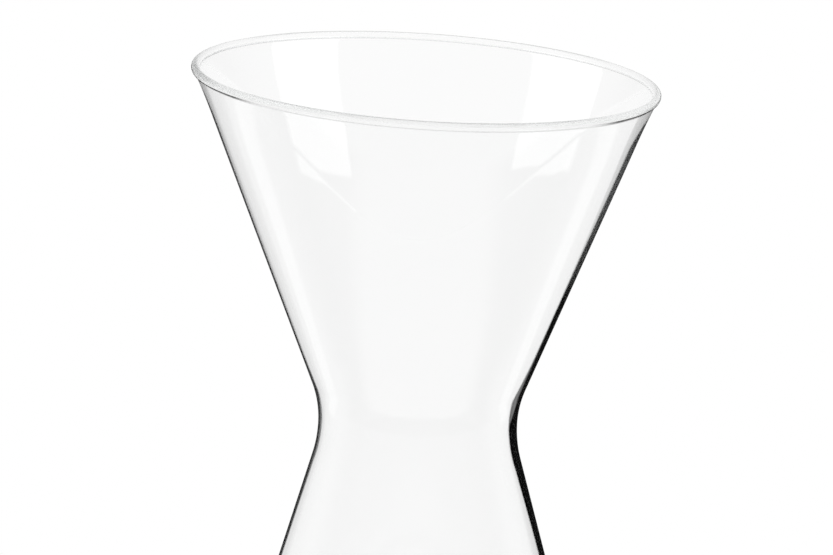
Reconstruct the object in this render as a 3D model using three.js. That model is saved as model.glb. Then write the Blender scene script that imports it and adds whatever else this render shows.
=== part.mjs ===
// A water carafe of clear blown glass: a wide body drawn in to a narrow waist, and a funnel above it.
// Millimetres, +Z up. The origin is the middle of the foot, on the table. The mouth is highest towards -X.
// The glass is one wall from foot to lip. It is laid out as five zones of that wall, which meet face to face.
import * as THREE from "three";

// Heights
const WAIST_HEIGHT = 185;
const MOUTH_HEIGHT = 260; // where the funnel ends and the lip begins
const LIP_LENGTH = 10; // along the wall, up to the middle of its bead

// Outside diameters
const BODY_DIAMETER = 144.5;
const WAIST_DIAMETER = 48;
const MOUTH_DIAMETER = 101.5;

// Bends of the outside face
const FUNNEL_BEND = 27.5;
const BODY_BEND = 33.5;
const HEEL_RADIUS = 10;

// Glass thickness
const RIM_WALL = 1.4;
const WAIST_WALL = 1.4;
const BODY_WALL = 1.8;
const BASE_THICKNESS = 4.5;
const INNER_HEEL_RADIUS = 5;

// Foot: a flat ring round a shallow push-up
const FOOT_WIDTH = 9;
const PUSH_UP = 3;

// Mouth: a lip that bends out to a fire-polished bead, on a slight slant
const LIP_BEND = THREE.MathUtils.degToRad(4);
const BEAD_SWELL_OUT = 0.45; // how far the bead stands proud of the outside face
const BEAD_SWELL_IN = 0.12; // how far it stands proud of the inside face
const RIM_RISE = 1.75; // the high side above the middle of the mouth
const SLANT_BAND = 14; // of the wall below the lip, over which the slant dies away

// Layout of the zones and of their facets
const ZONE_MARGIN = 1; // of straight wall that stays with a bend
const FACETS = 60;
const BEND_STEPS = 4;
const HEEL_STEPS = 6;
const DOME_STEPS = 4;
const LIP_STEPS = 3;
const BEAD_STEPS = 12;

const GLASS = { color: 0xdde8e6, roughness: 0.05, metalness: 0, transparent: true, opacity: 0.35 };

function arc(centre, radius, from, to, steps) {
  const points = [];
  for (let i = 0; i <= steps; i += 1) {
    const angle = from + ((to - from) * i) / steps;
    points.push(new THREE.Vector2(centre.x + radius * Math.cos(angle), centre.y + radius * Math.sin(angle)));
  }
  return points;
}

// A low dome from its middle, on the axis, out to its edge.
function dome(edgeRadius, edgeHeight, rise) {
  const radius = (edgeRadius ** 2 + rise ** 2) / (2 * rise);
  const half = Math.asin(edgeRadius / radius);
  const centre = new THREE.Vector2(0, edgeHeight + rise - radius);
  const points = arc(centre, radius, Math.PI / 2, Math.PI / 2 - half, DOME_STEPS);
  points[0].x = 0;
  return points;
}

// One face of the wall in profile, x out from the axis and y up: a heel round, a straight body, the waist's
// two bends and a straight funnel. The straight runs are tangent to the rounds at their ends.
class WallFace {
  constructor({ waistRadius, funnelBend, bodyBend, mouthRadius, heelCentre, heelRadius }) {
    this.funnelBend = funnelBend;
    this.bodyBend = bodyBend;
    this.heelCentre = heelCentre;
    this.heelRadius = heelRadius;
    this.funnelCentre = new THREE.Vector2(waistRadius + funnelBend, WAIST_HEIGHT);
    this.bodyCentre = new THREE.Vector2(waistRadius + bodyBend, WAIST_HEIGHT);
    this.mouth = new THREE.Vector2(mouthRadius, MOUTH_HEIGHT);

    const toMouth = this.mouth.clone().sub(this.funnelCentre);
    this.funnelAngle = Math.acos(-funnelBend / toMouth.length()) - toMouth.angle();
    const toWaist = this.bodyCentre.clone().sub(heelCentre);
    this.bodyAngle = toWaist.angle() - Math.acos((bodyBend + heelRadius) / toWaist.length());
  }

  get heelTop() {
    return this.heelCentre.y + this.heelRadius * Math.sin(this.bodyAngle);
  }

  get waistBottom() {
    return WAIST_HEIGHT - this.bodyBend * Math.sin(this.bodyAngle);
  }

  get waistTop() {
    return WAIST_HEIGHT + this.funnelBend * Math.sin(this.funnelAngle);
  }

  onBody(height) {
    const start = this.heelCentre.x + this.heelRadius * Math.cos(this.bodyAngle);
    return new THREE.Vector2(start - (height - this.heelTop) * Math.tan(this.bodyAngle), height);
  }

  onFunnel(height) {
    return new THREE.Vector2(this.mouth.x + (height - this.mouth.y) * Math.tan(this.funnelAngle), height);
  }

  heelArc() {
    return arc(this.heelCentre, this.heelRadius, -Math.PI / 2, this.bodyAngle, HEEL_STEPS);
  }

  waistArc() {
    const lower = arc(this.bodyCentre, this.bodyBend, Math.PI + this.bodyAngle, Math.PI, BEND_STEPS);
    const upper = arc(this.funnelCentre, this.funnelBend, Math.PI, Math.PI - this.funnelAngle, BEND_STEPS);
    return [...lower, ...upper.slice(1)];
  }
}

const bodyRadius = BODY_DIAMETER / 2;
const waistRadius = WAIST_DIAMETER / 2;
const mouthRadius = MOUTH_DIAMETER / 2;

const outside = new WallFace({
  waistRadius,
  funnelBend: FUNNEL_BEND,
  bodyBend: BODY_BEND,
  mouthRadius,
  heelCentre: new THREE.Vector2(bodyRadius - HEEL_RADIUS, HEEL_RADIUS),
  heelRadius: HEEL_RADIUS,
});

const innerHeelHeight = BASE_THICKNESS + INNER_HEEL_RADIUS;
const innerHeelSetback = (BODY_WALL + INNER_HEEL_RADIUS) / Math.cos(outside.bodyAngle);
const innerHeelX = outside.onBody(innerHeelHeight).x - innerHeelSetback;
const inside = new WallFace({
  waistRadius: waistRadius - WAIST_WALL,
  funnelBend: FUNNEL_BEND + WAIST_WALL,
  bodyBend: BODY_BEND + WAIST_WALL,
  mouthRadius: mouthRadius - RIM_WALL / Math.cos(outside.funnelAngle),
  heelCentre: new THREE.Vector2(innerHeelX, innerHeelHeight),
  heelRadius: INNER_HEEL_RADIUS,
});

// Level cuts between the zones
const baseTop = Math.max(outside.heelTop, inside.heelTop) + ZONE_MARGIN;
const waistBottom = Math.min(outside.waistBottom, inside.waistBottom) - ZONE_MARGIN;
const waistTop = Math.max(outside.waistTop, inside.waistTop) + ZONE_MARGIN;
const rimBottom = MOUTH_HEIGHT - SLANT_BAND;

function baseProfile() {
  const footOuter = outside.heelCentre.x;
  const under = dome(footOuter - FOOT_WIDTH, 0, PUSH_UP);
  const floor = dome(innerHeelX, BASE_THICKNESS, PUSH_UP);
  const outerWall = [...outside.heelArc(), outside.onBody(baseTop)];
  const innerWall = [...inside.heelArc().slice(1), inside.onBody(baseTop)];
  return [...under, ...outerWall, ...innerWall.reverse(), ...floor.reverse()];
}

function bodyProfile() {
  return closed([
    outside.onBody(baseTop),
    outside.onBody(waistBottom),
    inside.onBody(waistBottom),
    inside.onBody(baseTop),
  ]);
}

function waistProfile() {
  const outerWall = [outside.onBody(waistBottom), ...outside.waistArc(), outside.onFunnel(waistTop)];
  const innerWall = [inside.onBody(waistBottom), ...inside.waistArc(), inside.onFunnel(waistTop)];
  return closed([...outerWall, ...innerWall.reverse()]);
}

function funnelProfile() {
  return closed([
    outside.onFunnel(waistTop),
    outside.onFunnel(rimBottom),
    inside.onFunnel(rimBottom),
    inside.onFunnel(waistTop),
  ]);
}

// The lip is an arc that carries on from the funnel, and its bead is most of a circle at the arc's end.
function rimProfile() {
  const lean = outside.funnelAngle + LIP_BEND;
  const lipRadius = LIP_LENGTH / LIP_BEND;
  const wallMiddle = outside.mouth.clone().lerp(inside.mouth, 0.5);
  const across = new THREE.Vector2(Math.cos(outside.funnelAngle), -Math.sin(outside.funnelAngle));
  const lipCentre = wallMiddle.addScaledVector(across, lipRadius);

  const beadRadius = (RIM_WALL + BEAD_SWELL_OUT + BEAD_SWELL_IN) / 2;
  const outerNeck = Math.asin(1 - BEAD_SWELL_OUT / beadRadius);
  const innerNeck = Math.asin(1 - BEAD_SWELL_IN / beadRadius);
  const beadReach = lipRadius - (BEAD_SWELL_OUT - BEAD_SWELL_IN) / 2;
  const inwards = new THREE.Vector2(-Math.cos(lean), Math.sin(lean));
  const beadCentre = lipCentre.clone().addScaledVector(inwards, beadReach);
  const beadStart = -Math.PI / 2 - lean + outerNeck;
  const beadEnd = (3 * Math.PI) / 2 - lean - innerNeck;
  const bead = arc(beadCentre, beadRadius, beadStart, beadEnd, BEAD_STEPS);

  const lipFace = (radius, neck) => {
    const end = Math.PI - lean + (beadRadius * Math.cos(neck)) / lipRadius;
    return arc(lipCentre, radius, Math.PI - outside.funnelAngle, end, LIP_STEPS);
  };
  const outerLip = lipFace(lipRadius - RIM_WALL / 2, outerNeck);
  const innerLip = lipFace(lipRadius + RIM_WALL / 2, innerNeck);

  return closed([
    outside.onFunnel(rimBottom),
    ...outerLip,
    ...bead.slice(1, -1),
    ...innerLip.reverse(),
    inside.onFunnel(rimBottom),
  ]);
}

function closed(points) {
  return [...points, points[0].clone()];
}

// The profile turned about +Z, with its facets facing out.
function turned(points) {
  return new THREE.LatheGeometry(points, FACETS).rotateX(Math.PI / 2);
}

// Slides the lip along the funnel's own slope so that -X stands highest.
function slanted(geometry) {
  const position = geometry.getAttribute("position");
  const slope = Math.tan(outside.funnelAngle);
  for (let i = 0; i < position.count; i += 1) {
    const x = position.getX(i);
    const y = position.getY(i);
    const z = position.getZ(i);
    const radius = Math.hypot(x, y);
    const rise = RIM_RISE * (-x / radius) * THREE.MathUtils.smoothstep(z, rimBottom, MOUTH_HEIGHT);
    const scale = (radius + rise * slope) / radius;
    position.setXYZ(i, x * scale, y * scale, z + rise);
  }
  geometry.computeVertexNormals();
  return geometry;
}

function zone(name, geometry) {
  const mesh = new THREE.Mesh(geometry, new THREE.MeshStandardMaterial(GLASS));
  mesh.name = name;
  return mesh;
}

const carafe = new THREE.Group();
carafe.name = "water_carafe";
carafe.add(
  zone("base", turned(baseProfile())),
  zone("body", turned(bodyProfile())),
  zone("waist", turned(waistProfile())),
  zone("funnel", turned(funnelProfile())),
  zone("rim", slanted(turned(rimProfile()))),
);

export default carafe;
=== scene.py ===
"""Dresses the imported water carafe: one seamless wall of clear blown glass in a white studio."""

import logging
import math
from dataclasses import dataclass, field
from enum import Enum
from functools import partial, reduce
from typing import Any

import bpy
from mathutils import Matrix, Vector


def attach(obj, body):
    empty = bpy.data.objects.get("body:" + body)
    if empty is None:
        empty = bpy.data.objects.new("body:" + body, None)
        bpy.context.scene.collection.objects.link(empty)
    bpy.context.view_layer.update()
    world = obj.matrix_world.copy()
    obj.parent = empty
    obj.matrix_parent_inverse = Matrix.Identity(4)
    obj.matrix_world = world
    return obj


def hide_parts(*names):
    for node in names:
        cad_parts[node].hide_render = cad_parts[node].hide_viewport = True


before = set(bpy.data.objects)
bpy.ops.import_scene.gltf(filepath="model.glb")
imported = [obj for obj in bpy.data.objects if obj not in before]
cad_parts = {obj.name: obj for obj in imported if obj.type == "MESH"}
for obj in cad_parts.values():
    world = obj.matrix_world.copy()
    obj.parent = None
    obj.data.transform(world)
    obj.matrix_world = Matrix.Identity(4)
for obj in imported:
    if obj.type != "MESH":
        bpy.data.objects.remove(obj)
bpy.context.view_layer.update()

BODY = "root"
ZONES = ("base", "body", "waist", "funnel", "rim")
PHOTO_WIDTH = 833
GLASS_BOUNCES = 400
CLEAR_BOUNCES = 16
WHITE = (1.0, 1.0, 1.0, 1.0)
LOG = logging.getLogger("carafe")

# Blender's own numbers: the Layer Weight at which Facing is even, and the Mix node's sockets for
# the share and both values, and for the result, with numbers and with colours.
EVEN_BLEND = 0.5
MIX_NUMBER_INPUTS, MIX_NUMBER_OUTPUT = (0, 2, 3), 0
MIX_COLOUR_INPUTS, MIX_COLOUR_OUTPUT = (0, 6, 7), 2

Point = tuple[float, float]
Span = tuple[float, float]
Triple = tuple[float, float, float]
Colour = tuple[float, float, float, float]
Socket = bpy.types.NodeSocket


class NodeBench:
    """A node tree with short ways to add and wire its nodes."""

    def __init__(self, tree: bpy.types.NodeTree) -> None:
        """Clears the tree.

        Args:
            tree: The material's or the world's node tree.
        """
        self.tree = tree
        tree.nodes.clear()

    def add(self, kind: str, **settings: Any) -> bpy.types.Node:
        """Adds one node.

        Args:
            kind: The node's type without its ShaderNode prefix.
            **settings: The node's own properties, such as operation.

        Returns:
            The new node.
        """
        node = self.tree.nodes.new("ShaderNode" + kind)
        for name, value in settings.items():
            setattr(node, name, value)
        return node

    def feed(self, node: bpy.types.Node, **values: Any) -> bpy.types.Node:
        """Sets or links a node's inputs by name, with underscores for spaces.

        Args:
            node: The node to feed.
            **values: A socket to link from, or a plain value.

        Returns:
            The same node.
        """
        for name, value in values.items():
            self.plug(node.inputs[name.replace("_", " ")], value)
        return node

    def plug(self, socket: Socket, value: Any) -> None:
        """Links a socket to an input, or sets the input's own value.

        Args:
            socket: The input.
            value: A socket to link from, or a plain value.
        """
        if isinstance(value, Socket):
            self.tree.links.new(value, socket)
        else:
            socket.default_value = value

    def math(self, operation: str, *values: Any) -> Socket:
        """Adds a Math node.

        Args:
            operation: The node's operation.
            *values: Its inputs in order.

        Returns:
            Its result.
        """
        node = self.add("Math", operation=operation)
        for socket, value in zip(node.inputs, values):
            self.plug(socket, value)
        return node.outputs[0]

    def product(self, *values: Any) -> Socket:
        """Multiplies two or more numbers or sockets."""
        return reduce(partial(self.math, "MULTIPLY"), values)

    def total(self, *values: Any) -> Socket:
        """Adds up two or more numbers or sockets."""
        return reduce(partial(self.math, "ADD"), values)

    def vector(self, operation: str, first: Any, second: Any = None) -> bpy.types.Node:
        """Adds a Vector Math node.

        Args:
            operation: The node's operation.
            first: Its first input.
            second: Its second input, if it has one.

        Returns:
            The new node.
        """
        node = self.add("VectorMath", operation=operation)
        self.plug(node.inputs[0], first)
        if second is not None:
            self.plug(node.inputs[1], second)
        return node

    def axes(self, vector: Socket) -> Any:
        """The X, Y and Z of a vector."""
        return self.feed(self.add("SeparateXYZ"), Vector=vector).outputs

    def normal(self) -> Socket:
        """The surface's own normal."""
        return self.add("NewGeometry").outputs["Normal"]

    def noise(self, place: Socket, scale: float, detail: float) -> Socket:
        """Adds a Noise texture.

        Args:
            place: The coordinates.
            scale: How fine it is.
            detail: How many finer layers it has.

        Returns:
            The noise, from 0 to 1.
        """
        node = self.feed(self.add("TexNoise"), Vector=place, Scale=scale, Detail=detail)
        return node.outputs["Fac"]

    def facing(self, **normal: Socket) -> Socket:
        """How far the surface, or a given Normal, is turned away: 0 square on, 1 edge-on."""
        return self.feed(self.add("LayerWeight"), Blend=EVEN_BLEND, **normal).outputs["Facing"]

    def level(self, place: Socket) -> Socket:
        """Drops the height from a position, which leaves the way out from the carafe's axis.

        Args:
            place: The object coordinates.

        Returns:
            The level part.
        """
        return self.vector("MULTIPLY", place, (1.0, 1.0, 0.0)).outputs["Vector"]

    def outwards(self, place: Socket) -> Socket:
        """The level way out from the carafe's axis at a position, one unit long."""
        return self.vector("NORMALIZE", self.level(place)).outputs["Vector"]

    def from_back(self, way: Any) -> Socket:
        """The bearing of a direction in degrees, from straight behind the carafe towards +X."""
        return self.math("DEGREES", self.math("ARCTAN2", way["X"], way["Y"]))

    def ramp(self, value: Any, low: float, high: float, start: Any = 0.0, end: Any = 1.0) -> Socket:
        """Adds a smooth step.

        Args:
            value: What is measured.
            low: Where the step begins.
            high: Where it ends.
            start: The result below low.
            end: The result above high.

        Returns:
            The stepped value.
        """
        node = self.add("MapRange", interpolation_type="SMOOTHSTEP")
        self.feed(node, Value=value, From_Min=low, From_Max=high, To_Min=start, To_Max=end)
        return node.outputs["Result"]

    def band(self, value: Any, rise: Span, fall: Span) -> Socket:
        """Adds a smooth step up and a smooth step back down.

        Args:
            value: What is measured.
            rise: Where the step up begins and ends.
            fall: Where the step down begins and ends.

        Returns:
            1 within the band, 0 outside it.
        """
        return self.math("SUBTRACT", self.ramp(value, *rise), self.ramp(value, *fall))

    def mix(self, share: Any, first: Any, second: Any) -> Socket:
        """Adds a blend of two numbers.

        Args:
            share: 0 gives the first, 1 the second.
            first: A number or socket.
            second: A number or socket.

        Returns:
            The blend.
        """
        node = self.add("Mix", data_type="FLOAT")
        for index, value in zip(MIX_NUMBER_INPUTS, (share, first, second)):
            self.plug(node.inputs[index], value)
        return node.outputs[MIX_NUMBER_OUTPUT]

    def blend(self, share: Any, first: Any, second: Any) -> Socket:
        """Adds a blend of two colours.

        Args:
            share: 0 gives the first, 1 the second.
            first: A colour or socket.
            second: A colour or socket.

        Returns:
            The blend.
        """
        node = self.add("Mix", data_type="RGBA")
        for index, value in zip(MIX_COLOUR_INPUTS, (share, first, second)):
            self.plug(node.inputs[index], value)
        return node.outputs[MIX_COLOUR_OUTPUT]

    def layer(self, share: Any, first: Socket, second: Socket) -> Socket:
        """Adds a blend of two shaders.

        Args:
            share: 0 gives the first, 1 the second.
            first: A shader's output.
            second: A shader's output.

        Returns:
            The blend.
        """
        node = self.add("MixShader")
        for socket, value in zip(node.inputs, (share, first, second)):
            self.plug(socket, value)
        return node.outputs[0]


def deselect_all() -> None:
    """Leaves object mode with nothing selected."""
    if bpy.context.object and bpy.context.object.mode != "OBJECT":
        bpy.ops.object.mode_set(mode="OBJECT")
    bpy.ops.object.select_all(action="DESELECT")


def arc(centre: Point, radius: float, start: float, end: float, steps: int) -> list[Point]:
    """Points along an arc, both ends included.

    Args:
        centre: The arc's centre.
        radius: Its radius.
        start: The first angle in radians.
        end: The last angle.
        steps: How many stretches it has.

    Returns:
        The points in order.
    """
    angles = [start + (end - start) * i / steps for i in range(steps + 1)]
    return [(centre[0] + radius * math.cos(a), centre[1] + radius * math.sin(a)) for a in angles]


def between(start: Point, end: Point, steps: int) -> list[Point]:
    """Points inside a straight run, without its ends.

    Args:
        start: The run's first point.
        end: Its last point.
        steps: How many stretches it has.

    Returns:
        The points in order.
    """
    across, up = end[0] - start[0], end[1] - start[1]
    shares = [i / steps for i in range(1, steps)]
    return [(start[0] + across * share, start[1] + up * share) for share in shares]


def bearing(start: Point, end: Point) -> float:
    """The angle in radians at which one point lies from another."""
    return math.atan2(end[1] - start[1], end[0] - start[0])


class Side(Enum):
    """The two faces of the glass wall."""

    OUTSIDE = "outside"
    INSIDE = "inside"


@dataclass
class WallFace:
    """One face of the wall in profile, with its straight runs tangent to its bends."""

    waist: Point
    funnel_bend: float
    body_bend: float
    mouth: Point
    heel: Point
    heel_radius: float
    funnel_angle: float = field(init=False)
    body_angle: float = field(init=False)

    def __post_init__(self) -> None:
        """Works out the slopes of the two straight runs."""
        touch = -self.funnel_bend / math.dist(self.funnel_centre, self.mouth)
        self.funnel_angle = math.acos(touch) - bearing(self.funnel_centre, self.mouth)
        touch = (self.body_bend + self.heel_radius) / math.dist(self.heel, self.body_centre)
        self.body_angle = bearing(self.heel, self.body_centre) - math.acos(touch)

    @property
    def funnel_centre(self) -> Point:
        """The centre of the bend above the waist."""
        return (self.waist[0] + self.funnel_bend, self.waist[1])

    @property
    def body_centre(self) -> Point:
        """The centre of the bend below the waist."""
        return (self.waist[0] + self.body_bend, self.waist[1])

    def on_body(self, height: float) -> float:
        """The radius of the straight body at a height.

        Args:
            height: The height above the table.

        Returns:
            The radius.
        """
        start = self.heel[0] + self.heel_radius * math.cos(self.body_angle)
        rise = height - self.heel[1] - self.heel_radius * math.sin(self.body_angle)
        return start - rise * math.tan(self.body_angle)

    def on_funnel(self, height: float) -> float:
        """The radius of the straight funnel at a height."""
        return self.mouth[0] + (height - self.mouth[1]) * math.tan(self.funnel_angle)


@dataclass
class Loop:
    """One loop of the wall in space: a circle about a point on the carafe's mirror plane."""

    x: float
    z: float
    radius: float
    tilt: float


@dataclass
class Carafe:
    """The blown glass: one closed skin from the push-up, over the lip, to the floor inside.

    Lengths are metres, angles radians.
    """

    # Heights and outside radii.
    waist_height: float = 0.185
    mouth_height: float = 0.260
    body_radius: float = 0.07225
    waist_radius: float = 0.024
    mouth_radius: float = 0.05075

    # Bends of the outside face.
    funnel_bend: float = 0.0275
    body_bend: float = 0.0335
    heel_radius: float = 0.010

    # Glass thickness.
    rim_wall: float = 0.0014
    waist_wall: float = 0.0014
    body_wall: float = 0.0018
    base_thickness: float = 0.0045
    inner_heel_radius: float = 0.005

    # Foot: a flat ring round a shallow push-up.
    foot_width: float = 0.009
    push_up: float = 0.003

    # Mouth: a lip that bends out to a bead, on a slight slant. The lip is 0.02 mm shorter than the
    # CAD's, because the smooth bead would stand out of the CAD's box.
    lip_length: float = 0.00998
    lip_bend: float = math.radians(4.0)
    bead_swell_out: float = 0.00045
    bead_swell_in: float = 0.00012
    neck_round: float = 0.0005
    rim_rise: float = 0.00175
    slant_band: float = 0.014

    # How finely the skin is drawn.
    columns: int = 192
    pole_radius: float = 0.002
    dome_steps: int = 10
    foot_steps: int = 3
    heel_steps: int = 16
    body_steps: int = 14
    bend_steps: int = 14
    funnel_steps: int = 12
    slant_steps: int = 12
    lip_steps: int = 8
    neck_steps: int = 8
    bead_steps: int = 28

    def __post_init__(self) -> None:
        """Lays out the wall's two faces."""
        self.outside = WallFace(
            waist=(self.waist_radius, self.waist_height),
            funnel_bend=self.funnel_bend,
            body_bend=self.body_bend,
            mouth=(self.mouth_radius, self.mouth_height),
            heel=(self.body_radius - self.heel_radius, self.heel_radius),
            heel_radius=self.heel_radius,
        )
        heel_height = self.base_thickness + self.inner_heel_radius
        setback = (self.body_wall + self.inner_heel_radius) / math.cos(self.outside.body_angle)
        level_wall = self.rim_wall / math.cos(self.outside.funnel_angle)
        self.inside = WallFace(
            waist=(self.waist_radius - self.waist_wall, self.waist_height),
            funnel_bend=self.funnel_bend + self.waist_wall,
            body_bend=self.body_bend + self.waist_wall,
            mouth=(self.mouth_radius - level_wall, self.mouth_height),
            heel=(self.outside.on_body(heel_height) - setback, heel_height),
            heel_radius=self.inner_heel_radius,
        )
        self.lip_lean = self.outside.funnel_angle + self.lip_bend

    def dome(self, edge_radius: float, edge_height: float) -> list[Point]:
        """A low dome from near the axis out to its edge.

        Args:
            edge_radius: The dome's outer radius.
            edge_height: The height of its edge.

        Returns:
            The points from the pole to the edge.
        """
        radius = (edge_radius**2 + self.push_up**2) / (2 * self.push_up)
        centre = (0.0, edge_height + self.push_up - radius)
        start = math.acos(self.pole_radius / radius)
        return arc(centre, radius, start, math.acos(edge_radius / radius), self.dome_steps)

    def face(self, side: Side) -> list[Point]:
        """One face of the wall from the bottom of its heel to the neck of its bead.

        Args:
            side: Which face.

        Returns:
            The points in order.
        """
        wall = self.outside if side is Side.OUTSIDE else self.inside
        heel = arc(wall.heel, wall.heel_radius, -math.pi / 2, wall.body_angle, self.heel_steps)
        below, above = math.pi + wall.body_angle, math.pi - wall.funnel_angle
        lower = arc(wall.body_centre, wall.body_bend, below, math.pi, self.bend_steps)
        upper = arc(wall.funnel_centre, wall.funnel_bend, math.pi, above, self.bend_steps)
        band_foot = self.mouth_height - self.slant_band
        band = (wall.on_funnel(band_foot), band_foot)
        lip = self.lip(side)
        body = between(heel[-1], lower[0], self.body_steps)
        funnel = between(upper[-1], band, self.funnel_steps)
        slant = between(band, lip[0], self.slant_steps)
        return [*heel, *body, *lower, *upper[1:], *funnel, band, *slant, *lip]

    @property
    def bead_radius(self) -> float:
        """The radius of the lip's bead."""
        return (self.rim_wall + self.bead_swell_out + self.bead_swell_in) / 2

    @property
    def lip_centre(self) -> Point:
        """The centre of the lip's bend.

        Returns:
            Its radius and height.
        """
        lean = self.outside.funnel_angle
        bend = self.lip_length / self.lip_bend
        middle = (self.outside.mouth[0] + self.inside.mouth[0]) / 2
        return (middle + bend * math.cos(lean), self.mouth_height - bend * math.sin(lean))

    @property
    def bead_centre(self) -> Point:
        """The centre of the bead, which swells further out of the outside face than the inside.

        Returns:
            Its radius and height.
        """
        outwards = (self.bead_swell_out - self.bead_swell_in) / 2
        reach = self.lip_length / self.lip_bend - outwards
        across, up = reach * math.cos(self.lip_lean), reach * math.sin(self.lip_lean)
        return (self.lip_centre[0] - across, self.lip_centre[1] + up)

    def face_radius(self, side: Side) -> float:
        """The radius of one face of the lip about the centre of its bend."""
        half_wall = self.rim_wall / 2 if side is Side.INSIDE else -self.rim_wall / 2
        return self.lip_length / self.lip_bend + half_wall

    def neck_centre(self, side: Side) -> Point:
        """The centre of the small round between one face of the lip and the bead.

        Args:
            side: Which face.

        Returns:
            The point off the face that touches both the face and the bead at the round's radius.
        """
        centre = self.lip_centre
        clear = self.neck_round if side is Side.INSIDE else -self.neck_round
        reach = self.face_radius(side) + clear
        to_bead = math.dist(centre, self.bead_centre)
        apart = self.bead_radius + self.neck_round
        back = math.acos((to_bead**2 + reach**2 - apart**2) / (2 * to_bead * reach))
        angle = math.pi - self.lip_lean + back
        return (centre[0] + reach * math.cos(angle), centre[1] + reach * math.sin(angle))

    def lip(self, side: Side) -> list[Point]:
        """One face of the lip: an arc on from the funnel, and a small round up to the bead.

        Args:
            side: Which face.

        Returns:
            The points from the funnel upwards.
        """
        neck = self.neck_centre(side)
        start = math.pi - self.outside.funnel_angle
        end = bearing(self.lip_centre, neck)
        face = arc(self.lip_centre, self.face_radius(side), start, end, self.lip_steps)
        onset = bearing(neck, face[-1])
        turn = math.remainder(bearing(neck, self.bead_centre) - onset, math.tau)
        return [*face, *arc(neck, self.neck_round, onset, onset + turn, self.neck_steps)[1:]]

    def bead(self) -> list[Point]:
        """The lip's fire-polished bead: most of a circle, from the outer neck to the inner one.

        Returns:
            The points between the two necks.
        """
        start = bearing(self.bead_centre, self.neck_centre(Side.OUTSIDE))
        end = bearing(self.bead_centre, self.neck_centre(Side.INSIDE)) % math.tau
        return arc(self.bead_centre, self.bead_radius, start, end, self.bead_steps)[1:-1]

    def profile(self) -> list[Point]:
        """The whole skin in profile: under the foot, up the outside, over the lip, down the inside.

        Returns:
            The points from the middle of the push-up to the middle of the floor inside.
        """
        outer = self.face(Side.OUTSIDE)
        inner = self.face(Side.INSIDE)
        bead = self.bead()
        foot_inner = self.outside.heel[0] - self.foot_width
        under = self.dome(foot_inner, 0.0)
        foot = between(under[-1], outer[0], self.foot_steps)
        floor = self.dome(self.inside.heel[0], self.base_thickness)
        return [*under, *foot, *outer, *bead, *reversed(inner), *reversed(floor[:-1])]

    def loop(self, point: Point) -> Loop:
        """Turns a point of the profile into its loop, with the mouth's slant.

        Args:
            point: Radius and height.

        Returns:
            The loop.
        """
        radius, height = point
        share = min(max((height - self.mouth_height) / self.slant_band + 1.0, 0.0), 1.0)
        rise = self.rim_rise * share * share * (3.0 - 2.0 * share)
        shift = rise * math.tan(self.outside.funnel_angle)
        return Loop(x=-shift, z=height, radius=radius, tilt=math.atan2(rise, radius))

    def build(self) -> bpy.types.Object:
        """Draws the skin out loop by loop from a disc under the foot to the floor inside.

        Returns:
            The carafe's object.
        """
        loops = [self.loop(point) for point in self.profile()]
        deselect_all()
        bpy.ops.mesh.primitive_circle_add(
            vertices=self.columns,
            radius=loops[0].radius,
            fill_type="TRIFAN",
            location=(0.0, 0.0, loops[0].z),
        )
        wall = bpy.context.object
        wall.name = "carafe_glass"
        wall.data.name = "carafe_glass"
        bpy.ops.object.transform_apply(location=True, rotation=True, scale=True)
        bpy.ops.object.mode_set(mode="EDIT")
        bpy.ops.mesh.select_mode(type="EDGE")
        bpy.ops.mesh.select_all(action="DESELECT")
        bpy.ops.mesh.select_non_manifold()
        for last, following in zip(loops, loops[1:]):
            self.draw_out(last, following)
        bpy.ops.mesh.edge_face_add()
        bpy.ops.mesh.poke()
        bpy.ops.mesh.select_all(action="SELECT")
        bpy.ops.mesh.normals_make_consistent(inside=False)
        bpy.ops.object.mode_set(mode="OBJECT")
        bpy.ops.object.shade_smooth()
        return wall

    @staticmethod
    def draw_out(last: Loop, following: Loop) -> None:
        """Extrudes the selected loop of edges and puts the new loop in its place.

        Args:
            last: The loop that is selected.
            following: Where the new loop goes.
        """
        bpy.ops.mesh.extrude_edges_indiv()
        centre = (last.x, 0.0, last.z)
        wider = following.radius / last.radius
        bpy.ops.transform.resize(value=(wider, wider, wider), center_override=centre)
        if following.tilt != last.tilt:
            turn = last.tilt - following.tilt
            bpy.ops.transform.rotate(
                value=turn, orient_axis="Y", orient_type="GLOBAL", center_override=centre
            )
        bpy.ops.transform.translate(value=(following.x - last.x, 0.0, following.z - last.z))


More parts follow.
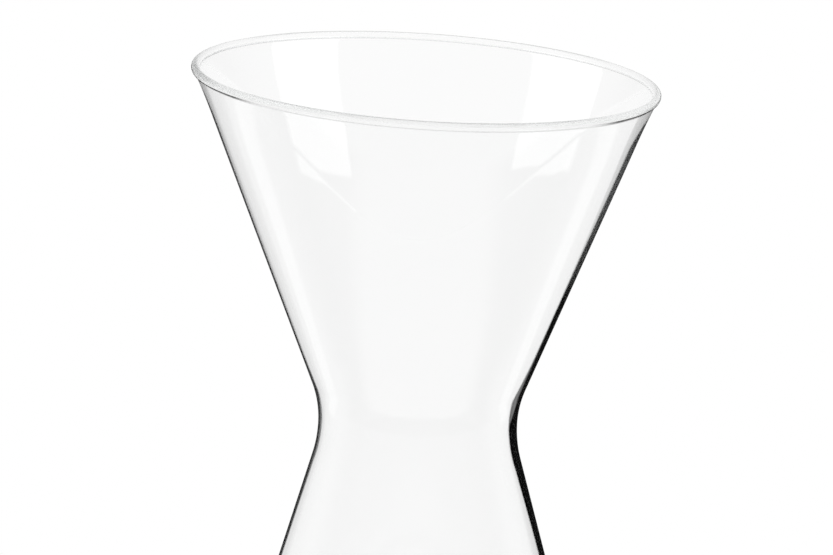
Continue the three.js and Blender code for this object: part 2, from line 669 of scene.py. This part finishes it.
@dataclass(frozen=True)
class ClearGlass:
    """Clear soda-lime glass, faintly rippled from blowing, with a dark line of painted shade where
    it turns away.

    Heights and widths are metres. A pair of widths is the painted dark line's on its lighter,
    narrower side, at -X, and on its heavier side, at +X.
    """

    slot: str = "clear_glass"
    ior: float = 1.5
    tint_clear: Colour = WHITE
    tint_thick: Colour = (0.992, 0.994, 0.993, 1.0)
    absorption: Colour = (0.94, 0.95, 0.947, 1.0)
    absorption_density: float = 2.0

    # The dark line at the outline, painted shade where the glass is seen edge-on: its painted shade
    # colours, its widths zone by zone and where the zones change.
    # Painted shade: near-black colours for the dark line, lighter at -X and higher up.
    edge_shade_paint: Colour = (0.00003, 0.00003, 0.00003, 1.0)
    edge_shade_paint_light_side: Colour = (0.006, 0.0062, 0.0061, 1.0)
    edge_shade_paint_high: Colour = (0.02, 0.021, 0.021, 1.0)
    edge_high: Span = (0.218, 0.252)
    edge_body: Span = (0.00065, 0.00130)
    edge_waist: Span = (0.0008, 0.0017)
    edge_funnel: Span = (0.0004, 0.00102)
    edge_softness: float = 0.00016
    outside_face: Span = (0.4, 0.6)
    heavy_shade_side: Span = (-0.012, 0.012)
    above_body: Span = (0.154, 0.180)
    above_waist: Span = (0.186, 0.206)

    # The lip, where that painted line narrows and ends, and its bead, with a painted pale-grey
    # outline and a painted dark line under its ends. Their heights leave out the slant.
    mouth_slant: float = 0.033
    lip_band: Span = (0.2638, 0.2660)
    lip_taper: Span = (0.2585, 0.2655)
    lip_share: float = 0.4
    lip_roughness: float = 0.10
    bead_height: Span = (0.2677, 0.2682)
    bead_underside: Span = (-0.40, -0.28)
    bead_ends: Span = (0.29, 0.44)
    bead_outline: Span = (0.3, 0.6)
    bead_sides: Span = (0.2, 0.5)
    # Painted shade: the grey of the bead's painted outline.
    bead_shade_paint: Colour = (0.6, 0.605, 0.603, 1.0)

    # Ripples from blowing, and a faint film left from wiping.
    ripple_scale: float = 22.0
    ripple_detail: float = 1.0
    ripple_stretch: Triple = (1.0, 1.0, 2.4)
    ripple_height: float = 0.00002
    film_scale: float = 60.0
    film_detail: float = 4.0
    film_patches: Span = (0.55, 0.8)
    film_roughness: float = 0.004

    def edge(self, bench: NodeBench, place: Socket) -> Socket:
        """Where the outside of the wall is edge-on, the mask of the painted dark line: wider on the
        side of heavier painted shade and gone at the lip.

        Args:
            bench: The glass's node tree.
            place: The object coordinates.

        Returns:
            0 on the open wall, 1 where it is seen edge-on.
        """
        axes = bench.axes(place)
        facing_out = bench.vector("DOT_PRODUCT", bench.outwards(place), bench.normal())
        outside = bench.ramp(facing_out.outputs["Value"], *self.outside_face)
        radius = bench.vector("LENGTH", bench.level(place)).outputs["Value"]
        square_on = bench.math("SUBTRACT", 1.0, bench.facing())
        slant = bench.math("SQRT", bench.math("SUBTRACT", 1.0, bench.product(square_on, square_on)))
        behind_outline = bench.product(radius, bench.math("SUBTRACT", 1.0, slant))
        from_body = bench.ramp(axes["Z"], *self.above_body)
        from_waist = bench.ramp(axes["Z"], *self.above_waist)
        light_side_width, heavy_side_width = (
            bench.mix(from_waist, bench.mix(from_body, body, waist), funnel)
            for body, waist, funnel in zip(self.edge_body, self.edge_waist, self.edge_funnel)
        )
        up_to_lip = self.up_to_lip(bench, axes)
        taper = bench.ramp(up_to_lip, *self.lip_taper, 1.0, self.lip_share)
        to_heavy_shade = bench.ramp(axes["X"], *self.heavy_shade_side)
        width = bench.product(bench.mix(to_heavy_shade, light_side_width, heavy_side_width), taper)
        within = bench.math("SUBTRACT", width, behind_outline)
        line = bench.ramp(within, -self.edge_softness, self.edge_softness)
        wall = bench.ramp(up_to_lip, *self.lip_band, 1.0, 0.0)
        return bench.product(line, wall, outside)

    def up_to_lip(self, bench: NodeBench, axes: Any) -> Socket:
        """The height with the mouth's slant taken out.

        Args:
            bench: The glass's node tree.
            axes: The object coordinates' X, Y and Z.

        Returns:
            The height.
        """
        return bench.math("MULTIPLY_ADD", axes["X"], self.mouth_slant, axes["Z"])

    def painted_bead_lines(self, bench: NodeBench, place: Socket, on_bead: Socket) -> tuple[Socket, Socket]:
        """The lines of painted shade on the lip's bead, where it is hit from outside.

        Args:
            bench: The glass's node tree.
            place: The object coordinates.
            on_bead: Where the bead is.

        Returns:
            The pale outline along the near and far sides, and the dark line under both ends.
        """
        turned_away = bench.facing(Normal=bench.outwards(place))
        sides = bench.ramp(turned_away, *self.bead_sides, 1.0, 0.0)
        ends = bench.ramp(turned_away, *self.bead_ends)
        edge_on = bench.ramp(bench.facing(), *self.bead_outline)
        under = bench.ramp(bench.axes(bench.normal())["Z"], *self.bead_underside, 1.0, 0.0)
        return bench.product(sides, on_bead, edge_on), bench.product(ends, on_bead, under)

    def colour(self, bench: NodeBench, place: Socket, ripple: Socket, bead: Socket) -> Socket:
        """The glass's tint, with its dark lines and the bead's pale-grey outline painted in as
        shade.

        Args:
            bench: The glass's node tree.
            place: The object coordinates.
            ripple: The ripples, from 0 to 1.
            bead: Where the lip's bead is.

        Returns:
            The base colour.
        """
        axes = bench.axes(place)
        tint = bench.blend(ripple, self.tint_clear, self.tint_thick)
        # Painted shade: the dark line's colour, lighter at -X and lighter again high up.
        to_heavy_shade = bench.ramp(axes["X"], *self.heavy_shade_side)
        low = bench.blend(to_heavy_shade, self.edge_shade_paint_light_side, self.edge_shade_paint)
        shade = bench.blend(bench.ramp(axes["Z"], *self.edge_high), low, self.edge_shade_paint_high)
        from_outside = bench.math("SUBTRACT", 1.0, bench.add("NewGeometry").outputs["Backfacing"])
        # Painted shade: the bead's pale-grey outline, and the dark line under the bead's ends.
        outline, under_bead = self.painted_bead_lines(bench, place, bench.product(bead, from_outside))
        # The painted dark outline line is blended over the glass's tint here.
        edged = bench.blend(self.edge(bench, place), tint, shade)
        return bench.blend(under_bead, bench.blend(outline, edged, self.bead_shade_paint), self.edge_shade_paint)

    def material(self) -> bpy.types.Material:
        """Builds the glass.

        Returns:
            The material.
        """
        made = bpy.data.materials.new("clear_blown_glass")
        made.use_nodes = True
        bench = NodeBench(made.node_tree)
        place = bench.add("TexCoord").outputs["Object"]
        stretched = bench.feed(bench.add("Mapping"), Vector=place, Scale=self.ripple_stretch)
        ripple = bench.noise(stretched.outputs[0], self.ripple_scale, self.ripple_detail)
        film = bench.noise(place, self.film_scale, self.film_detail)
        wiped = bench.ramp(film, *self.film_patches, 0.0, self.film_roughness)
        bump = bench.feed(
            bench.add("Bump"), Height=ripple, Distance=self.ripple_height, Strength=1.0
        )
        bead = bench.ramp(self.up_to_lip(bench, bench.axes(place)), *self.bead_height)
        glass = bench.feed(
            bench.add("BsdfPrincipled"),
            Base_Color=self.colour(bench, place, ripple, bead),
            Roughness=bench.mix(bead, wiped, self.lip_roughness),
            IOR=self.ior,
            Transmission_Weight=1.0,
            Normal=bump.outputs["Normal"],
        )
        depth = bench.feed(
            bench.add("VolumeAbsorption"), Color=self.absorption, Density=self.absorption_density
        )
        bench.feed(
            bench.add("OutputMaterial"),
            Surface=glass.outputs["BSDF"],
            Volume=depth.outputs["Volume"],
        )
        return made


@dataclass(frozen=True)
class Softbox:
    """One upright studio light with a bowed lower edge, set by what it spans.

    Angles are degrees: inner and outer from the front towards +X, bottom and top above the target.
    From the inner side outwards the lower edge falls by the slope times the angle along it, and by
    the sag times that angle's square. The distance is metres.
    """

    name: str
    inner: float
    outer: float
    bottom: float
    slope: float
    sag: float
    top: float = 55.0
    side_softness: float = 0.4
    end_softness: float = 0.12
    distance: float = 1.0
    radiance: float = 1.0

    def build(self, target: Vector) -> None:
        """Stands up the lamp that lights the table. The glass mirrors the world's drawing of it.

        Args:
            target: The point that its angles are measured from.
        """
        turn = math.radians(self.inner + self.outer) / 2
        half_width = self.distance * math.tan(math.radians(abs(self.outer - self.inner)) / 2)
        low = self.distance * math.tan(math.radians(self.bottom))
        high = self.distance * math.tan(math.radians(self.top))
        away = Vector((math.sin(turn), -math.cos(turn), 0.0))
        data = bpy.data.lights.new(self.name, type="AREA")
        data.shape = "RECTANGLE"
        data.size = 2 * half_width
        data.size_y = high - low
        data.energy = self.radiance * math.pi * data.size * data.size_y
        lamp = bpy.data.objects.new(self.name, data)
        lamp.location = target + away * self.distance + Vector((0.0, 0.0, (low + high) / 2))
        lamp.rotation_euler = away.to_track_quat("Z", "Y").to_euler()
        lamp.visible_glossy = False
        lamp.visible_transmission = False
        bpy.context.collection.objects.link(lamp)

    def mirrored(self, bench: NodeBench, way: Any) -> Socket:
        """Where the light lies in what the glass mirrors.

        Args:
            bench: The world's node tree.
            way: The direction's X, Y and Z.

        Returns:
            1 on the light, 0 elsewhere.
        """
        side = math.copysign(1.0, self.inner)
        outwards, forwards = bench.product(way["X"], side), bench.product(way["Y"], -1.0)
        from_front = bench.math("DEGREES", bench.math("ARCTAN2", outwards, forwards))
        along = bench.math("SUBTRACT", from_front, abs(self.inner))
        width = abs(self.outer - self.inner)
        across = bench.band(along, (0.0, self.side_softness), (width, width + self.side_softness))
        fall = bench.product(along, bench.math("MULTIPLY_ADD", along, self.sag, self.slope))
        elevation = bench.math("DEGREES", bench.math("ARCSINE", way["Z"]))
        above = bench.math("SUBTRACT", bench.total(elevation, fall), self.bottom)
        over_bottom = bench.ramp(above, 0.0, self.end_softness)
        over_top = bench.ramp(elevation, self.top, self.top + self.end_softness)
        return bench.product(across, bench.math("SUBTRACT", over_bottom, over_top))


@dataclass
class Studio:
    """The white surroundings: a pale table, soft light, and what the glass mirrors.

    Lengths are metres, and bearings degrees from straight behind the carafe towards +X. Other
    places in what the glass mirrors are the Y or Z of a unit direction, or -Z on the table.
    """

    # The table, which fades into the backdrop, and the light on it.
    floor_radius: float = 0.5
    floor_corners: int = 96
    fade_from: float = 0.20
    fade_to: float = 0.40
    floor_colour: Colour = (0.82, 0.82, 0.82, 1.0)
    floor_glow: float = 1.05
    glow_share: float = 0.62
    ambient: float = 0.9

    # What the glass mirrors: the room, the table's far and near parts, and a screen behind them.
    # Light that it has mirrored more often than the limit meets plain white.
    mirrored_limit: float = 1.5
    room: float = 0.60
    table_far: float = 0.42
    table_far_edge: Span = (0.515, 0.574)
    table_near: float = 0.74
    table_near_edge: Span = (0.755, 0.80)
    screen: float = 0.80
    screen_side: Span = (-0.1, 0.4)
    screen_top: Span = (0.05, 0.2)

    # A dark flag low behind the table, with a paler fringe at its left and a step at its right.
    flag: float = 0.012
    flag_left: Span = (-28.0, -22.0)
    flag_fringe: Span = (-46.0, -39.0)
    fringe_share: float = 0.36
    flag_right: Span = (26.0, 46.0)
    flag_step: Span = (-0.44, -0.34)
    flag_softness: float = 8.0
    flag_low: Span = (-0.64, -0.56)
    flag_high: Span = (-0.09, 0.0)

    # Two lit strips of the table, at the same bearings left and right.
    streak: float = 1.24
    streak_inner: Span = (48.0, 53.0)
    streak_outer: Span = (61.0, 67.0)
    streak_low: Span = (0.42, 0.49)

    # The softboxes, and how strongly the glass mirrors them: over the lip, and through the wall.
    softbox_over_lip: float = 0.32
    softbox_through_wall: float = 1.06
    softbox_target: Triple = (0.0, 0.0, 0.238)
    softboxes: tuple[Softbox, ...] = (
        Softbox("softbox_right", inner=54.6, outer=95.5, bottom=24.84, slope=0.149, sag=0.00115),
        Softbox("softbox_left", inner=-60.8, outer=-107.5, bottom=24.16, slope=0.155, sag=0.00148),
    )

    def build(self) -> None:
        """Lights the scene and lays the table."""
        self.build_floor()
        self.build_world()
        for softbox in self.softboxes:
            softbox.build(Vector(self.softbox_target))

    def build_floor(self) -> None:
        """Lays a round table top whose colour fades into the backdrop."""
        deselect_all()
        bpy.ops.mesh.primitive_circle_add(
            vertices=self.floor_corners, radius=self.floor_radius, fill_type="NGON"
        )
        floor = bpy.context.object
        floor.name = "studio_floor"
        floor.data.materials.append(self.floor_material())

    def floor_material(self) -> bpy.types.Material:
        """A white table top that keeps the shadow and vanishes at its edge and from mirrored light.

        Returns:
            The material.
        """
        made = bpy.data.materials.new("white_table")
        made.use_nodes = True
        bench = NodeBench(made.node_tree)
        path = bench.add("LightPath").outputs
        place = bench.add("TexCoord").outputs["Object"]
        spread = bench.vector("LENGTH", place).outputs["Value"]
        mirrored = bench.math("MINIMUM", path["Glossy Depth"], 1.0)
        lit = bench.feed(bench.add("BsdfDiffuse"), Color=self.floor_colour)
        glow = bench.feed(bench.add("Emission"), Color=WHITE, Strength=self.floor_glow)
        seen = bench.math("MAXIMUM", path["Is Camera Ray"], path["Is Transmission Ray"])
        top = bench.layer(bench.product(seen, self.glow_share), lit.outputs[0], glow.outputs[0])
        gone = bench.math("MAXIMUM", bench.ramp(spread, self.fade_from, self.fade_to), mirrored)
        faded = bench.layer(gone, top, bench.add("BsdfTransparent").outputs[0])
        bench.feed(bench.add("OutputMaterial"), Surface=faded)
        return made

    def flag_cover(self, bench: NodeBench, way: Any) -> Socket:
        """The low dark flag behind the table.

        Args:
            bench: The world's node tree.
            way: The direction's X, Y and Z.

        Returns:
            1 on the flag, 0 elsewhere.
        """
        from_back = bench.from_back(way)
        right = bench.ramp(way["Z"], *self.flag_step, *self.flag_right)
        past_right = bench.ramp(bench.math("SUBTRACT", from_back, right), 0.0, self.flag_softness)
        full, fringe = (bench.ramp(from_back, *edge) for edge in (self.flag_left, self.flag_fringe))
        across = bench.math("SUBTRACT", bench.mix(self.fringe_share, full, fringe), past_right)
        return bench.product(across, bench.band(way["Z"], self.flag_low, self.flag_high))

    def streak_cover(self, bench: NodeBench, way: Any) -> Socket:
        """The two lit strips of the table, behind the carafe to its left and right.

        Args:
            bench: The world's node tree.
            way: The direction's X, Y and Z.

        Returns:
            1 on the strips, 0 elsewhere.
        """
        to_the_side = bench.math("ABSOLUTE", bench.from_back(way))
        across = bench.band(to_the_side, self.streak_inner, self.streak_outer)
        down = bench.product(way["Z"], -1.0)
        return bench.product(across, bench.ramp(down, *self.streak_low))

    def surroundings(self, bench: NodeBench, way: Any) -> Socket:
        """The plain room with its table and the screen behind it.

        Args:
            bench: The world's node tree.
            way: The direction's X, Y and Z.

        Returns:
            The brightness.
        """
        down = bench.product(way["Z"], -1.0)
        far_table = bench.mix(bench.ramp(down, *self.table_far_edge), self.room, self.table_far)
        open_room = bench.mix(bench.ramp(down, *self.table_near_edge), far_table, self.table_near)
        behind = bench.ramp(way["Y"], *self.screen_side)
        low = bench.ramp(way["Z"], *self.screen_top, 1.0, 0.0)
        return bench.mix(bench.product(behind, low), open_room, self.screen)

    def build_world(self) -> None:
        """White for what is seen straight or through the glass, a studio for what it mirrors."""
        world = bpy.data.worlds.new("studio")
        world.use_nodes = True
        bpy.context.scene.world = world
        bench = NodeBench(world.node_tree)
        path = bench.add("LightPath").outputs
        way = bench.axes(bench.add("TexCoord").outputs["Generated"])
        inner = self.surroundings(bench, way)
        flagged = bench.mix(self.flag_cover(bench, way), inner, self.flag)
        outer = bench.mix(self.streak_cover(bench, way), flagged, self.streak)
        entered = bench.math("MINIMUM", path["Transmission Depth"], 1.0)
        mirrored = bench.math("MINIMUM", path["Glossy Depth"], 1.0)
        often = bench.math("GREATER_THAN", path["Glossy Depth"], self.mirrored_limit)
        lit = bench.total(*(softbox.mirrored(bench, way) for softbox in self.softboxes))
        glare = bench.mix(entered, self.softbox_over_lip, self.softbox_through_wall)
        once = bench.total(bench.mix(entered, outer, inner), bench.product(lit, glare))
        seen = bench.mix(mirrored, 1.0, bench.mix(often, once, 1.0))
        strength = bench.mix(path["Is Diffuse Ray"], seen, self.ambient)
        sky = bench.feed(bench.add("Background"), Color=WHITE, Strength=strength)
        bench.feed(bench.add("OutputWorld"), Surface=sky.outputs[0])


@dataclass
class PhotoCamera:
    """The photograph's viewpoint, from a fit to the outline and the rim. In metres and degrees."""

    place: Triple = (0.0, -0.690, 0.4023)
    focal_pixels: float = 2993.3
    yaw: float = -0.12
    pitch: float = 14.74
    roll: float = 1.91
    nearest: float = 0.01

    def build(self) -> None:
        """Sets up the camera and makes it the scene's."""
        data = bpy.data.cameras.new("photo_camera")
        data.lens = data.sensor_width * self.focal_pixels / PHOTO_WIDTH
        data.clip_start = self.nearest
        camera = bpy.data.objects.new("photo_camera", data)
        yaw, pitch, roll = (math.radians(a) for a in (self.yaw, self.pitch, self.roll))
        level = math.cos(pitch)
        forward = Vector((math.sin(yaw) * level, math.cos(yaw) * level, -math.sin(pitch)))
        right = Vector((math.cos(yaw), -math.sin(yaw), 0.0))
        up = right.cross(forward)
        leaning_right = right * math.cos(roll) + up * math.sin(roll)
        leaning_up = up * math.cos(roll) - right * math.sin(roll)
        turned = Matrix((leaning_right, leaning_up, -forward)).transposed().to_4x4()
        camera.matrix_world = Matrix.Translation(self.place) @ turned
        bpy.context.collection.objects.link(camera)
        bpy.context.scene.camera = camera


def set_view() -> None:
    """Plain colour, and enough bounces for light to leave the glass."""
    scene = bpy.context.scene
    scene.view_settings.view_transform = "Standard"
    scene.cycles.max_bounces = GLASS_BOUNCES
    scene.cycles.transmission_bounces = GLASS_BOUNCES
    scene.cycles.glossy_bounces = GLASS_BOUNCES
    scene.cycles.transparent_max_bounces = CLEAR_BOUNCES
    scene.cycles.use_denoising = True


def main() -> None:
    """Builds the camera, the carafe and its studio in order."""
    logging.basicConfig(level=logging.INFO, format="%(message)s")
    PhotoCamera().build()
    carafe = Carafe()
    glass = ClearGlass()
    wall = carafe.build()
    wall.data.materials.append(glass.material())
    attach(wall, BODY)
    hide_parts(*ZONES)
    LOG.info("%s: %d faces", wall.name, len(wall.data.polygons))
    Studio().build()
    set_view()


if __name__ == "__main__":
    main()
